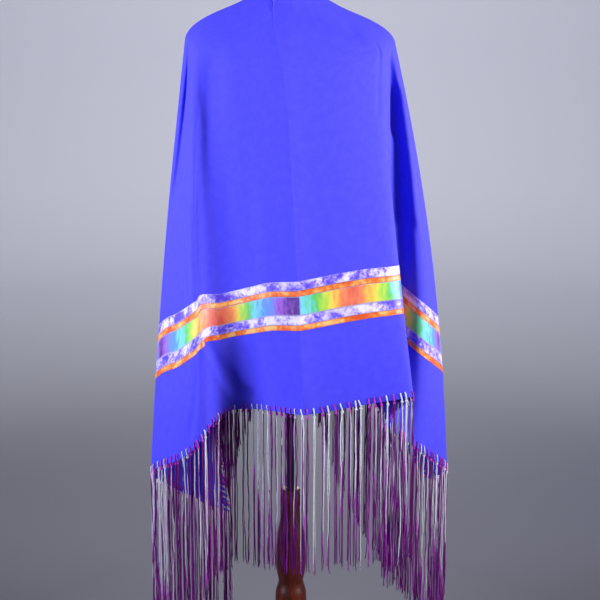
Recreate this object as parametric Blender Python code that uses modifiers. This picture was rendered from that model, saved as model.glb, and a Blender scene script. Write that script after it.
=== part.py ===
"""Fringed dance shawl draped over the shoulders of a dress form on a turned wooden stand.

Metres, +Z up. The origin lies on the floor, on the axis of the stand's post. The back of the
shawl faces -Y. Bearings run in degrees round the body: 0 is the front opening, 90 the -X
shoulder, 180 the middle of the back, 270 the +X shoulder and 360 the front opening again.
"""
import math

import bmesh
import bpy
from mathutils import Vector

# Sheet of cloth and its ribbons
CLOTH_THICKNESS = 0.002
PIECE_GAP = 0.0003
STRIP_GAP = 0.0008             # wider, because the strip turns with the folds
RIBBON_THICKNESS = 0.0008
RIBBON_SPACING = 0.0004
BAND_HEIGHT = 0.176            # lower edge of the band of ribbons above the hem
COLUMN_WIDTH = 0.026           # widest facet along the hem
HANG_START = 0.045             # share of the fall taken by the bend over the shoulder
RIGHT_SHOULDER_DROP = 0.010    # how much lower the cloth lies on the +X shoulder
TUCK_REACH = 0.26              # height above the hem at which a tuck has faded out
ARM_FOLD_ENDS = (0.47, 0.90)    # distances from the hem between which the arm's fold runs
ARM_FOLD_FADE = 0.16
ARM_FOLD_PLACE = 0.320         # place along the hem under its lower end
ARM_FOLD_LEAN = 0.25
ARM_FOLD_WIDTH = 0.028
ARM_FOLD_DEPTH = 0.0185
ARM_FOLD_SWELL = 0.2            # of the depth, on the fold's -X side
ARM_FOLD_SWELL_ASIDE = 2.0      # of the width

# Fringe of yarn locks
FRINGE_LENGTH = 0.338
STRIP_HEIGHT = 0.003
STRIP_THICKNESS = 0.0013
EDGE_ROOT = 0.005               # length of strip that a lock of a front edge grows from
LOCK_WIDTH = 0.0032
KNOT_DROP = 0.012
HEM_PITCH = 0.0132
EDGE_PITCH = 0.038
LOCK_CLEARANCE = 0.0054
FAN_REACHES = (0.036, 0.030, 0.024, 0.018, 0.012)
FAN_TURNS = (15, 50, 85, 120)
LENGTH_VARIATION = 0.012
HEM_SWAY = 0.003
EDGE_SWAY = 0.0006

# Dress form
NECK_RADIUS = 0.054
FORM_RISE = 0.0022              # lift of the form that brings its shoulders up to the cloth
FORM_SIDES = 28
CAP_HEIGHT = 0.012

# Stand
POLE_RADIUS = 0.0085
COLLAR_HEIGHT = 0.008
COLLAR_RADIUS = 0.021
BASE_RADIUS = 0.190
BASE_HEIGHT = 0.028
TURNED_STEPS = 22

# Ribbons of the band from the lowest up: name, width, colour
RIBBONS = (
    ("ribbon_orange_lower", 0.0115, "F0702A"),
    ("ribbon_lilac_lower", 0.0200, "9A80E8"),
    ("ribbon_rainbow", 0.0385, "70C8A0"),
    ("ribbon_orange_upper", 0.0115, "F0702A"),
    ("ribbon_lilac_upper", 0.0190, "9A80E8"),
)

# Shoulder line, where the cloth turns to hang: bearing, x, y, z
SHOULDER_LINE = (
    (0, -0.039, 0.142, 1.080),
    (20, -0.072, 0.138, 1.160),
    (45, -0.126, 0.116, 1.300),
    (65, -0.172, 0.082, 1.405),
    (80, -0.200, 0.042, 1.454),
    (92, -0.207, 0.004, 1.464),
    (105, -0.204, -0.034, 1.456),
    (125, -0.180, -0.080, 1.434),
    (150, -0.110, -0.116, 1.410),
    (180, 0.000, -0.128, 1.396),
)

# Upper edge of the cloth, round the neck and down the chest: bearing, x, y, z
NECKLINE = (
    (0, -0.037, 0.138, 1.115),
    (20, -0.045, 0.131, 1.205),
    (45, -0.056, 0.109, 1.332),
    (65, -0.072, 0.074, 1.432),
    (80, -0.083, 0.036, 1.479),
    (92, -0.085, 0.004, 1.494),
    (105, -0.082, -0.024, 1.503),
    (125, -0.071, -0.050, 1.512),
    (150, -0.044, -0.074, 1.521),
    (180, 0.000, -0.086, 1.526),
)

# Folds along the hem, a row each: name, hem x, y, z, bearing, rise, bow x, bow y, tuck.
# The rise is how much longer the way up from a sloping hem is than the way square to it.
# The bow bends the middle of the fall. The tuck draws the hem in below the band.
FOLDS = (
    ("left front corner", -0.140, 0.128, 0.365, 0, 1.06, -0.062, 0.000, 0.000),
    ("left front roll", -0.166, 0.122, 0.378, 9, 1.07, -0.050, 0.004, 0.000),
    ("left front dip", -0.190, 0.098, 0.394, 17, 1.08, -0.040, -0.004, 0.000),
    ("left front swell", -0.216, 0.100, 0.411, 27, 1.09, -0.030, 0.006, 0.000),
    ("left front hollow", -0.242, 0.072, 0.433, 38, 1.10, -0.022, -0.004, 0.000),
    ("left side swell", -0.274, 0.064, 0.456, 52, 1.12, -0.014, 0.004, 0.000),
    ("left side", -0.300, 0.024, 0.486, 74, 1.15, -0.009, 0.000, 0.000),
    ("left side turn", -0.297, -0.018, 0.512, 90, 1.16, -0.009, 0.000, 0.000),
    ("left strip edge", -0.272, -0.052, 0.537, 100, 1.16, -0.006, -0.004, 0.000),
    ("left strip", -0.242, -0.084, 0.557, 107, 1.15, -0.002, -0.010, 0.000),
    ("left strip inside", -0.210, -0.108, 0.583, 113, 1.12, -0.004, -0.014, 0.000),
    ("left ridge", -0.184, -0.122, 0.614, 118, 1.07, -0.004, -0.020, 0.006),
    ("left ridge turn", -0.165, -0.116, 0.642, 123, 1.01, -0.006, -0.009, 0.016),
    ("left valley wall", -0.152, -0.092, 0.652, 127, 0.97, -0.004, 0.006, 0.034),
    ("left valley", -0.140, -0.064, 0.656, 132, 0.95, 0.004, 0.013, 0.056),
    ("left back hollow", -0.116, -0.054, 0.662, 139, 0.95, 0.010, 0.015, 0.064),
    ("left back", -0.072, -0.072, 0.668, 152, 0.97, 0.004, 0.009, 0.050),
    ("left of crease", -0.026, -0.114, 0.675, 163, 0.99, 0.000, 0.001, 0.020),
    ("centre crease", 0.026, -0.143, 0.677, 172, 1.00, 0.006, -0.004, 0.000),
    ("right of crease", 0.060, -0.140, 0.680, 184, 1.01, 0.004, -0.004, 0.000),
    ("right back", 0.110, -0.143, 0.690, 198, 1.01, 0.000, -0.006, 0.000),
    ("right panel", 0.165, -0.148, 0.702, 213, 1.00, 0.000, -0.006, 0.000),
    ("right panel side", 0.218, -0.152, 0.712, 225, 0.98, -0.002, -0.004, 0.000),
    ("pleat lip", 0.243, -0.150, 0.716, 230, 0.97, -0.004, 0.000, 0.000),
    ("pleat lip turn", 0.250, -0.140, 0.713, 232, 0.98, -0.004, 0.004, 0.000),
    ("pleat under lip", 0.241, -0.131, 0.702, 234, 1.00, -0.004, 0.008, 0.000),
    ("pleat inner run", 0.210, -0.118, 0.672, 238, 1.05, -0.006, 0.010, 0.000),
    ("pleat inner turn", 0.193, -0.104, 0.650, 242, 1.09, -0.008, 0.010, 0.000),
    ("pleat outer run", 0.203, -0.088, 0.632, 246, 1.12, 0.000, 0.026, 0.000),
    ("right tube back", 0.236, -0.074, 0.606, 251, 1.15, 0.008, 0.038, 0.000),
    ("right tube crest", 0.270, -0.060, 0.576, 257, 1.17, 0.018, 0.000, 0.000),
    ("right tube", 0.303, -0.028, 0.545, 264, 1.19, 0.024, -0.014, 0.000),
    ("right side", 0.329, 0.004, 0.518, 273, 1.20, 0.026, -0.004, 0.000),
    ("right side turn", 0.340, 0.038, 0.497, 286, 1.18, 0.024, 0.000, 0.000),
    ("right front swell", 0.338, 0.076, 0.478, 303, 1.14, 0.004, 0.006, 0.000),
    ("right front dip", 0.326, 0.100, 0.461, 322, 1.10, -0.018, 0.000, 0.000),
    ("right front roll", 0.322, 0.120, 0.452, 342, 1.08, -0.040, 0.004, 0.000),
    ("right front corner", 0.309, 0.134, 0.443, 360, 1.06, -0.056, 0.000, 0.000),
)

# Rows of the sheet over the fall above the band, and over the bend at the shoulder
FALL_SHARES = (0.22, 0.46, 0.72, 1.00)
BEND_SHARES = (0.28, 0.52, 0.76, 1.00)

# Cross sections of the dress form: height, half width, half depth, centre y
FORM_SECTIONS = (
    (0.800, 0.150, 0.098, 0.000),
    (0.850, 0.166, 0.106, -0.002),
    (0.930, 0.168, 0.106, -0.004),
    (1.020, 0.142, 0.090, 0.002),
    (1.090, 0.128, 0.084, 0.004),
    (1.180, 0.142, 0.096, 0.006),
    (1.260, 0.156, 0.106, 0.006),
    (1.330, 0.166, 0.096, 0.000),
    (1.385, 0.180, 0.078, -0.008),
    (1.420, 0.186, 0.062, -0.010),
    (1.440, 0.178, 0.052, -0.010),
    (1.456, 0.152, 0.050, -0.010),
    (1.470, 0.116, 0.052, -0.010),
    (1.482, 0.080, 0.054, -0.010),
    (1.500, 0.060, 0.055, -0.010),
    (1.540, 0.054, 0.054, -0.010),
    (1.585, 0.054, 0.054, -0.010),
)

# Turned outline of the wooden post: height, radius
POST_OUTLINE = (
    (0.460, 0.019),
    (0.452, 0.022),
    (0.436, 0.0225),
    (0.424, 0.020),
    (0.400, 0.023),
    (0.360, 0.030),
    (0.320, 0.033),
    (0.290, 0.0325),
    (0.268, 0.029),
    (0.258, 0.027),
    (0.248, 0.0285),
    (0.232, 0.033),
    (0.205, 0.034),
    (0.150, 0.031),
    (0.095, 0.027),
    (0.075, 0.031),
    (0.055, 0.038),
    (0.0283, 0.041),
)


def clear_scene():
    for thing in list(bpy.data.objects):
        bpy.data.objects.remove(thing, do_unlink=True)


def linear(channel):
    return channel / 12.92 if channel <= 0.04045 else ((channel + 0.055) / 1.055) ** 2.4


def material(name, colour, roughness, metallic=0.0):
    made = bpy.data.materials.new(name)
    made.use_nodes = True
    shader = made.node_tree.nodes["Principled BSDF"]
    channels = [linear(int(colour[k:k + 2], 16) / 255) for k in (0, 2, 4)]
    shader.inputs["Base Color"].default_value = (*channels, 1.0)
    shader.inputs["Roughness"].default_value = roughness
    shader.inputs["Metallic"].default_value = metallic
    made.diffuse_color = (*channels, 1.0)
    return made


def add_object(name, mesh, finish, collection):
    mesh.materials.append(finish)
    made = bpy.data.objects.new(name, mesh)
    collection.objects.link(made)
    return made


def mesh_from(bm, name, smooth_angle=None):
    bmesh.ops.recalc_face_normals(bm, faces=bm.faces)
    mesh = bpy.data.meshes.new(name)
    bm.to_mesh(mesh)
    bm.free()
    if smooth_angle is not None:
        mesh.shade_smooth()
        mesh.set_sharp_from_angle(angle=math.radians(smooth_angle))
    return mesh


def smooth_between(keys, points, key):
    """Point on the smooth curve through the points, which stand at rising keys."""
    last = len(keys) - 1
    k = min(max(sum(1 for value in keys if value <= key) - 1, 0), last - 1)

    def slope(at):
        low, high = max(at - 1, 0), min(at + 1, last)
        return (points[high] - points[low]) / (keys[high] - keys[low])

    span = keys[k + 1] - keys[k]
    t = (key - keys[k]) / span
    rise, fall = slope(k) * span, slope(k + 1) * span
    a, b = points[k], points[k + 1]
    return (a * (2 * t**3 - 3 * t**2 + 1) + rise * (t**3 - 2 * t**2 + t)
            + b * (3 * t**2 - 2 * t**3) + fall * (t**3 - t**2))


def ring_point(table, bearing):
    """Point of the shoulder line or neckline: the +X side mirrors the -X side."""
    mirrored = bearing > 180
    half = 360 - bearing if mirrored else bearing
    point = smooth_between([row[0] for row in table], [Vector(row[1:]) for row in table], half)
    if mirrored:
        point.x = -point.x
        point.z -= RIGHT_SHOULDER_DROP * math.sin(math.radians(half))
    return point


def arm_fold(place, up):
    """How far the cloth is tucked in behind the arm on the -X side, with a swell beside it."""
    begin = min(max((up - ARM_FOLD_ENDS[0]) / ARM_FOLD_FADE, 0.0), 1.0)
    finish = min(max((ARM_FOLD_ENDS[1] - up) / ARM_FOLD_FADE, 0.0), 1.0)
    share = min(begin, finish)
    aside = place - ARM_FOLD_PLACE - ARM_FOLD_LEAN * (up - ARM_FOLD_ENDS[0])
    tucked = math.exp(-(aside / ARM_FOLD_WIDTH)**2)
    swell = ARM_FOLD_SWELL * math.exp(-(aside / ARM_FOLD_WIDTH + ARM_FOLD_SWELL_ASIDE)**2)
    return ARM_FOLD_DEPTH * share * share * (3 - 2 * share) * (tucked - swell)


class Drape:
    """The draped sheet: every place on it comes from the distance along its hem."""

    def __init__(self):
        self.hem = [Vector(row[1:4]) for row in FOLDS]
        self.turn = [Vector(row[4:]) for row in FOLDS]
        self.keys = [0.0]
        for a, b in zip(self.hem, self.hem[1:]):
            self.keys.append(self.keys[-1] + (b - a).length)

    def columns(self):
        """Distances along the hem at which the sheet has a column of corners."""
        places = [0.0]
        for start, end in zip(self.keys, self.keys[1:]):
            steps = max(1, math.ceil((end - start) / COLUMN_WIDTH))
            places += [start + (end - start) * k / steps for k in range(1, steps + 1)]
        return places

    def column(self, place, heights):
        """Points from the hem up to the neckline."""
        hem = smooth_between(self.keys, self.hem, place)
        bearing, rise, bow_x, bow_y, tuck = smooth_between(self.keys, self.turn, place)
        bearing = min(max(bearing, 0.0), 360.0)
        neck = ring_point(NECKLINE, bearing)
        shoulder = ring_point(SHOULDER_LINE, bearing)
        plumb = hem - Vector((0, tuck, 0))
        start = shoulder.lerp(plumb, HANG_START)
        length = (start - plumb).length
        ups = [height * rise for height in heights]
        ups += [ups[-1] + (length - ups[-1]) * share for share in FALL_SHARES]
        points = []
        for up in ups:
            share = up / length
            swing = 4 * share * (1 - share)
            drawn_in = tuck * max(1 - up / TUCK_REACH, 0.0)**2
            behind_arm = arm_fold(place, up)
            offset = Vector((bow_x * swing, bow_y * swing + drawn_in + behind_arm, 0))
            points.append(plumb.lerp(start, share) + offset)
        for share in BEND_SHARES:
            rest = 1 - share
            points.append(start * rest**2 + shoulder * (2 * share * rest) + neck * share**2)
        return points


def grid_normals(grid):
    """Outward direction of the sheet at every corner of the grid."""
    normals = []
    for i, column in enumerate(grid):
        before, after = grid[max(i - 1, 0)], grid[min(i + 1, len(grid) - 1)]
        line = []
        for j in range(len(column)):
            low, high = max(j - 1, 0), min(j + 1, len(column) - 1)
            along = after[j] - before[j]
            up = column[high] - column[low]
            line.append(along.cross(up).normalized())
        normals.append(line)
    return normals


def thick_sheet(name, grid, normals, inner, outer):
    """Closed solid between two offsets of the sheet along its outward normals."""
    bm = bmesh.new()
    sides = []
    for offset in (inner, outer):
        sides.append([[bm.verts.new(p + n * offset) for p, n in zip(points, outs)]
                      for points, outs in zip(grid, normals)])
    inside, outside = sides
    last_column, last_row = len(grid) - 1, len(grid[0]) - 1
    for i in range(last_column):
        for j in range(last_row):
            for side in sides:
                bm.faces.new((side[i][j], side[i + 1][j], side[i + 1][j + 1], side[i][j + 1]))
        for j in (0, last_row):
            bm.faces.new((inside[i][j], inside[i + 1][j], outside[i + 1][j], outside[i][j]))
    for i in (0, last_column):
        for j in range(last_row):
            bm.faces.new((inside[i][j], inside[i][j + 1], outside[i][j + 1], outside[i][j]))
    bmesh.ops.triangulate(bm, faces=bm.faces, quad_method="FIXED")
    return mesh_from(bm, name, smooth_angle=40)


def band_heights():
    """Heights above the hem where the ribbons meet, from the band's lower edge up."""
    edges = [BAND_HEIGHT]
    for _, width, _ in RIBBONS:
        edges.append(edges[-1] + width)
    return edges


def ribbon_strip(grid, low_row, width):
    """Part of a grid between two rows, drawn in a little at both of its long edges."""
    share = RIBBON_SPACING / 2 / width
    return [[column[low_row].lerp(column[low_row + 1], end) for end in (share, 1 - share)]
            for column in grid]


def edge_rail(edge, inward, normals, pitch, root_length=None):
    """Corners of the fringe's strip along an edge of the sheet, lock by lock.

    A lock grows from the whole of its pitch, or from root_length at the end of it.
    """
    rail = []
    rooted = []
    run = 0.0
    for k, (point, normal) in enumerate(zip(edge, normals)):
        away = (point - inward[k]).normalized()
        half = normal * (STRIP_THICKNESS / 2)
        near = point + away * STRIP_GAP
        far = point + away * (STRIP_GAP + STRIP_HEIGHT)
        corners = (near + half, near - half, far - half, far + half)
        if k == 0:
            rail.append(corners)
            continue
        length = (point - edge[k - 1]).length
        last = rail[-1]
        if root_length:
            locks = int((run + length) / pitch) - int(run / pitch)
            ends = [(step / locks - part, part == 0) for step in range(1, locks + 1)
                    for part in (root_length / length, 0)]
            ends = ends or [(1, False)]
        else:
            locks = max(1, round(length / pitch))
            ends = [(step / locks, True) for step in range(1, locks + 1)]
        run += length
        for end, has_lock in ends:
            rail.append(tuple(a.lerp(b, end) for a, b in zip(last, corners)))
            rooted.append(has_lock)
    return rail, rooted


def wander(k, turn):
    """Repeatable number between -1 and 1 for lock k."""
    return math.sin(12.9898 * k + 78.233 * turn) * math.cos(4.1414 * k + turn)


def lock_roots(rail, rooted):
    """Middle of the strip's far side, where each lock grows out of it."""
    return [(a[2] + a[3] + b[2] + b[3]) / 4 for a, b, root in zip(rail, rail[1:], rooted) if root]


def fringe(name, rail, rooted, knots, headings, sway):
    """Strip with a lock of yarn grown out of every rooted stretch, all one closed solid."""
    bm = bmesh.new()
    corners = [[bm.verts.new(p) for p in four] for four in rail]
    for verts in (corners[0], corners[-1]):
        bm.faces.new(verts)
    k = 0
    for a, b, has_lock in zip(corners, corners[1:], rooted):
        near_out, near_in, far_in, far_out = range(4)
        bm.faces.new((a[near_out], b[near_out], b[far_out], a[far_out]))
        bm.faces.new((a[near_in], b[near_in], b[far_in], a[far_in]))
        bm.faces.new((a[near_out], b[near_out], b[near_in], a[near_in]))
        root = [a[far_out], b[far_out], b[far_in], a[far_in]]
        if not has_lock:
            bm.faces.new(root)
            continue
        knot = knots[k]
        along, out = headings[k]
        length = FRINGE_LENGTH + LENGTH_VARIATION * wander(k, 1) - KNOT_DROP
        tip = knot + Vector((sway * wander(k, 2), sway * wander(k, 3), -length))
        rings = [root]
        for centre, width in ((knot, LOCK_WIDTH), (tip, LOCK_WIDTH * 0.8)):
            half = width / 2
            steps = ((-half, half), (half, half), (half, -half), (-half, -half))
            rings.append([bm.verts.new(centre + along * s + out * n) for s, n in steps])
        for upper, lower in zip(rings, rings[1:]):
            for m in range(4):
                n = (m + 1) % 4
                bm.faces.new((upper[m], upper[n], lower[n], lower[m]))
        bm.faces.new(rings[-1])
        k += 1
    bmesh.ops.triangulate(bm, faces=bm.faces, quad_method="FIXED")
    return mesh_from(bm, name)


def level(vector):
    return Vector((vector.x, vector.y, 0)).normalized()


def hem_fringe(grid, normals):
    rail, rooted = edge_rail([c[0] for c in grid], [c[1] for c in grid],
                             [n[0] for n in normals], HEM_PITCH)
    knots = [root - Vector((0, 0, KNOT_DROP)) for root in lock_roots(rail, rooted)]
    alongs = [level(b[3] - a[3]) for a, b in zip(rail, rail[1:])]
    headings = [(along, Vector((along.y, -along.x, 0))) for along in alongs]
    return fringe("fringe_hem", rail, rooted, knots, headings, HEM_SWAY)


def fan_place(root, hanging, side):
    """First place in the fan before the edge that clears the locks from above, or the clearest."""
    start = root.xy
    clearest = (0.0, start)
    for turn in FAN_TURNS:
        for reach in FAN_REACHES:
            angle = math.radians(turn)
            end = start + reach * Vector((side * math.cos(angle), math.sin(angle)))
            run = end - start
            gaps = []
            for other in hanging:
                share = min(max((other - start).dot(run) / run.length_squared, 0.0), 1.0)
                gaps.append((other - start - run * share).length)
            gap = min(gaps, default=1.0)
            if gap > LOCK_CLEARANCE:
                return end
            clearest = max(clearest, (gap, end), key=lambda found: found[0])
    return clearest[1]


def front_fringe(name, grid, normals, edge, side):
    """Fringe of a front edge: its locks fan out to the front so that each hangs free."""
    inner = edge + 1 if edge == 0 else edge - 1
    rail, rooted = edge_rail(grid[edge], grid[inner], normals[edge], EDGE_PITCH, EDGE_ROOT)
    knots = []
    headings = []
    for root in reversed(lock_roots(rail, rooted)):
        hanging = [k.xy for k in knots if k.z - root.z < FRINGE_LENGTH + LENGTH_VARIATION]
        end = fan_place(root, hanging, side)
        knots.append(Vector((*end, root.z - KNOT_DROP)))
        run = level(knots[-1] - root)
        headings.append((run, Vector((-side * run.y, side * run.x, 0))))
    return fringe(name, rail, rooted, knots[::-1], headings[::-1], EDGE_SWAY)


def turned(name, outline, collection, finish):
    """Round piece turned about Z from its outline, given as heights and radii from the top."""
    mesh = bpy.data.meshes.new(name)
    points = [(0, 0, outline[0][0])] + [(r, 0, z) for z, r in outline] + [(0, 0, outline[-1][0])]
    mesh.from_pydata(points, [(k, k + 1) for k in range(len(points) - 1)], [])
    made = add_object(name, mesh, finish, collection)
    screw = made.modifiers.new("Turn", "SCREW")
    screw.steps = screw.render_steps = TURNED_STEPS
    screw.use_merge_vertices = True
    screw.merge_threshold = 0.00005
    screw.use_smooth_shade = False
    return made


def form_torso(collection, finish):
    """Dress form lofted through its sections, up to the flat top of the neck."""
    bm = bmesh.new()
    rings = []
    for height, width, depth, centre in FORM_SECTIONS:
        ring = []
        for k in range(FORM_SIDES):
            turn = 2 * math.pi * k / FORM_SIDES
            ring.append(bm.verts.new((width * math.cos(turn), centre + depth * math.sin(turn),
                                      height + FORM_RISE)))
        rings.append(ring)
    for low, high in zip(rings, rings[1:]):
        for k in range(FORM_SIDES):
            n = (k + 1) % FORM_SIDES
            bm.faces.new((low[k], low[n], high[n], high[k]))
    bm.faces.new(rings[0])
    bm.faces.new(rings[-1])
    return add_object("form_torso", mesh_from(bm, "form_torso", 50), finish, collection)


def build_shawl(collection):
    drape = Drape()
    heights = [0.0, BAND_HEIGHT / 2] + band_heights()
    grid = [drape.column(place, heights) for place in drape.columns()]
    normals = grid_normals(grid)

    cloth = material("royal blue gabardine", "4A40E8", 0.75)
    half = CLOTH_THICKNESS / 2
    mesh = thick_sheet("shawl_cloth", grid, normals, -half, half)
    add_object("shawl_cloth", mesh, cloth, collection)

    low = half + PIECE_GAP
    first_row = heights.index(BAND_HEIGHT)
    for row, (name, width, colour) in enumerate(RIBBONS, first_row):
        strip = ribbon_strip(grid, row, width)
        outs = ribbon_strip(normals, row, width)
        mesh = thick_sheet(name, strip, outs, low, low + RIBBON_THICKNESS)
        add_object(name, mesh, material(name + " satin", colour, 0.35), collection)

    yarn = material("purple and white rayon yarn", "6A1878", 0.5)
    add_object("fringe_hem", hem_fringe(grid, normals), yarn, collection)
    for name, edge, side in (("fringe_left_edge", 0, 1), ("fringe_right_edge", -1, -1)):
        add_object(name, front_fringe(name, grid, normals, edge, side), yarn, collection)


def build_stand(collection):
    fabric = material("black jersey cover", "1B1B1E", 0.85)
    enamel = material("black enamelled steel", "161618", 0.35)
    brass = material("polished brass", "C9A050", 0.25, 1.0)
    wood = material("varnished mahogany", "6B2A0E", 0.28)

    form_torso(collection, fabric)
    neck_top = FORM_SECTIONS[-1][0] + FORM_RISE
    cap = [(neck_top + PIECE_GAP + CAP_HEIGHT, NECK_RADIUS - 0.006),
           (neck_top + PIECE_GAP + CAP_HEIGHT - 0.003, NECK_RADIUS - 0.001),
           (neck_top + PIECE_GAP, NECK_RADIUS)]
    top = turned("form_neck_cap", cap, collection, wood)
    top.location.y = FORM_SECTIONS[-1][3]

    collar_low = POST_OUTLINE[0][0] + PIECE_GAP
    collar_top = collar_low + COLLAR_HEIGHT
    collar = [(collar_top, COLLAR_RADIUS - 0.003), (collar_top - 0.002, COLLAR_RADIUS),
              (collar_low + 0.002, COLLAR_RADIUS), (collar_low, COLLAR_RADIUS - 0.003)]
    turned("stand_collar", collar, collection, brass)
    pole_low = collar_top + PIECE_GAP
    pole_top = FORM_SECTIONS[0][0] + FORM_RISE - PIECE_GAP
    turned("stand_pole", [(pole_top, POLE_RADIUS), (pole_low, POLE_RADIUS)], collection, enamel)
    turned("stand_post", POST_OUTLINE, collection, wood)
    base = [(BASE_HEIGHT, BASE_RADIUS - 0.016), (BASE_HEIGHT - 0.004, BASE_RADIUS - 0.006),
            (BASE_HEIGHT - 0.012, BASE_RADIUS), (0.004, BASE_RADIUS), (0.0, BASE_RADIUS - 0.004)]
    turned("stand_base", base, collection, wood)


def main():
    clear_scene()
    collection = bpy.data.collections.new("fringed_dance_shawl")
    bpy.context.scene.collection.children.link(collection)
    build_shawl(collection)
    build_stand(collection)


main()
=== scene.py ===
"""Fringed dance shawl on its dress form and turned stand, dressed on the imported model.

Metres, +Z up, the back of the shawl faces -Y. Places on the cloth are given by the distance
along its hem from the left front corner and by the height above the hem, both in metres.
"""

import math
import random

import bmesh
import bpy
import numpy as np
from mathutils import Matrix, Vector, noise


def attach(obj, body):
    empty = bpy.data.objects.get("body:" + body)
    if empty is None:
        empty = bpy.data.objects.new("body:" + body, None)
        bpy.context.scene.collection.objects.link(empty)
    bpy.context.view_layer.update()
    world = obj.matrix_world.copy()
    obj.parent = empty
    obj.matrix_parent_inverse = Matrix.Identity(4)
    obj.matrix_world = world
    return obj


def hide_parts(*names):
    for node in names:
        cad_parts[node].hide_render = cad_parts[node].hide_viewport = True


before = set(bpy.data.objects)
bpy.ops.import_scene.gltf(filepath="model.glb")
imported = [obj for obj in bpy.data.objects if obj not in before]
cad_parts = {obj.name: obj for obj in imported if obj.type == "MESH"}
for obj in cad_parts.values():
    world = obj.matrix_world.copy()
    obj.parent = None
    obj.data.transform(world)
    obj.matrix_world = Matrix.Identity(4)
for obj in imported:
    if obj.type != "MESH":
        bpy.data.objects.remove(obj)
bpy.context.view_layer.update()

# Cloth
CLOTH_HALF = 0.0007             # half of the gabardine's thickness
HEM_WIDTH = 0.011
HEM_TURNING = 0.0007            # extra thickness of the turned hem, on the inside
HEM_SEAM_HALF = 0.0004          # half width of the hem's seam
HEM_SEAM_PULL = 0.00035         # how deep the seam draws the cloth in
COLUMN_STEP = 0.006
BAND_HEIGHT = 0.176             # lower edge of the band of ribbons above the hem
HANG_START = 0.045              # share of the fall taken by the bend over the shoulder
RIGHT_SHOULDER_DROP = 0.010     # how much lower the cloth lies on the +X shoulder
TUCK_REACH = 0.26               # height above the hem at which a tuck has faded out
ARM_FOLD_ENDS = (0.47, 0.90)    # distances from the hem between which the arm's fold runs
ARM_FOLD_FADE = 0.16
ARM_FOLD_PLACE = 0.320          # place along the hem under its lower end
ARM_FOLD_LEAN = 0.25
ARM_FOLD_WIDTH = 0.028
ARM_FOLD_DEPTH = 0.0185
ARM_FOLD_SWELL = 0.2            # of the depth, on the fold's -X side
ARM_FOLD_SWELL_ASIDE = 2.0      # of the width

# Ribbons from the lowest up: node, width, finish
RIBBONS = (
    ("ribbon_orange_lower", 0.0115, "orange"),
    ("ribbon_lilac_lower", 0.0200, "lilac"),
    ("ribbon_rainbow", 0.0385, "rainbow"),
    ("ribbon_orange_upper", 0.0115, "orange"),
    ("ribbon_lilac_upper", 0.0190, "lilac"),
)
BAND_TOP = BAND_HEIGHT + sum(width for _, width, _ in RIBBONS)
RIBBON_THICKNESS = 0.0005
RIBBON_SPACING = 0.0004
RIBBON_ROW = 0.006              # step of its grid's rows
RIBBON_LIFT = 0.0001            # air between the cloth and a ribbon, and a ribbon and its thread
ZIGZAG_PITCH = 0.0028
ZIGZAG_REACH = 0.0017
THREAD_RADIUS = 0.00028
STITCH_SINK = 0.0002            # how deep the hem's stitches lie in the cloth

# Fringe
FRINGE_LENGTH = 0.338
HOLE_PITCH = 0.0132
HOLE_HEIGHT = 0.0105
KNOT_DROP = 0.0062
KNOT_RADIUS = 0.0021
KNOT_LIFT = 0.0016              # half height of a knot
YARN_RADIUS = 0.00125
STRAND_SPACING = 0.0022
STRAND_POINTS = 24
LEAD_SHARE = 0.72               # share of a lock's strands that have its main colour
# the loops and knots of purple yarn are a paler magenta than its strands: painted light on the lit
# loops
LOOP_TINT_WITH_PAINTED_LIGHT = 0.42                  # tint of the loops and knots of purple yarn
FLOOR_CLEARANCE = 0.006

# Share of purple locks along the hem: place, share
PURPLE_SHARES = (
    (0, 0.64), (0.24, 0.7), (0.5, 0.72), (0.6, 0.62), (0.715, 0.62), (0.725, 0.9),
    (0.765, 0.9), (0.775, 0.3), (0.855, 0.3), (0.87, 0.84), (0.985, 0.84), (1.476, 0.74),
)

# Dye of the rainbow ribbon along the hem: place, 0 violet to 1 red
DYE_TURNS = (
    (0, 0.55), (0.07, 0), (0.19, 1), (0.312, 0.03), (0.36, 0.22), (0.395, 0.36),
    (0.44, 0.52), (0.47, 0.68), (0.5, 0.8), (0.545, 1), (0.575, 0.98), (0.6, 0.8),
    (0.613, 0.66), (0.635, 0.52), (0.66, 0.36), (0.705, 0.24), (0.733, 0.1), (0.765, 0),
    (0.7765, 0.02), (0.7785, 0.36), (0.802, 0.46), (0.826, 0.62), (0.842, 0.72), (0.858, 0.84),
    (0.885, 0.96), (0.908, 0.82), (0.935, 0.69), (0.952, 0.6), (0.966, 0.5), (0.98, 0.4),
    (0.994, 0.26), (1.012, 0), (1.105, 1), (1.176, 0.7), (1.2, 0.52), (1.235, 0.38),
    (1.268, 0.28), (1.303, 0.06), (1.4, 1), (1.476, 0.3),
)

# Shoulder line, where the cloth turns to hang: bearing, x, y, z
SHOULDER_LINE = (
    (0, -0.039, 0.142, 1.08),
    (20, -0.072, 0.138, 1.16),
    (45, -0.126, 0.116, 1.3),
    (65, -0.172, 0.082, 1.405),
    (80, -0.2, 0.042, 1.454),
    (92, -0.207, 0.004, 1.464),
    (105, -0.204, -0.034, 1.456),
    (125, -0.18, -0.08, 1.434),
    (150, -0.11, -0.116, 1.41),
    (180, 0, -0.128, 1.396),
)

# Upper edge of the cloth, round the neck and down the chest: bearing, x, y, z
NECKLINE = (
    (0, -0.037, 0.138, 1.115),
    (20, -0.045, 0.131, 1.205),
    (45, -0.056, 0.109, 1.332),
    (65, -0.072, 0.074, 1.432),
    (80, -0.083, 0.036, 1.479),
    (92, -0.085, 0.004, 1.494),
    (105, -0.082, -0.024, 1.503),
    (125, -0.071, -0.05, 1.512),
    (150, -0.044, -0.074, 1.521),
    (180, 0, -0.086, 1.526),
)

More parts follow.
